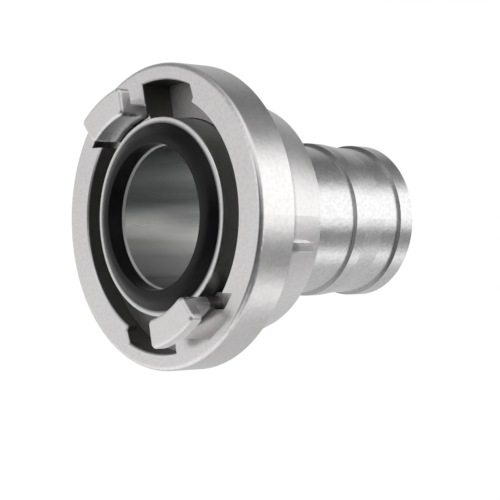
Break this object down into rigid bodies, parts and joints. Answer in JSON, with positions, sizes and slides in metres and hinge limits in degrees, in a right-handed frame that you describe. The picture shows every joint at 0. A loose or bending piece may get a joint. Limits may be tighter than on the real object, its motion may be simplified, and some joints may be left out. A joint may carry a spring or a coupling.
{
  "type": "quarter turn fire hose coupling",
  "caption": "Fire hose coupling half: a swivelling ring with hooked lugs and notches, a rubber seal, and a barbed hose tail with a through waterway.",
  "frame": {"origin": "centre of the hose tail's end, where the coupling stands", "axes": "+Z along the waterway from the hose tail to the lugs; +X lies between the lugs, towards the side that the picture shows"},
  "size_m": [0.098, 0.098, 0.1006],
  "materials": {
    "forged_aluminium": "forged, shot blasted and turned on the face and rim, satin",
    "turned_aluminium": "turned, satin",
    "seal_rubber": "moulded black rubber, matt",
    "spring_wire": "drawn square wire, bright"
  },
  "bodies": {
    "tail": {"hose_tail": "turned_aluminium", "seal_ring": "seal_rubber", "snap_ring": "spring_wire"},
    "ring": {"lug_ring": "forged_aluminium"}
  },
  "joints": [
    {"name": "ring_swivel", "type": "hinge", "parent": "tail", "child": "ring", "pos_m": [0, 0, 0.065], "axis": [0, 0, 1], "continuous": true}
  ]
}
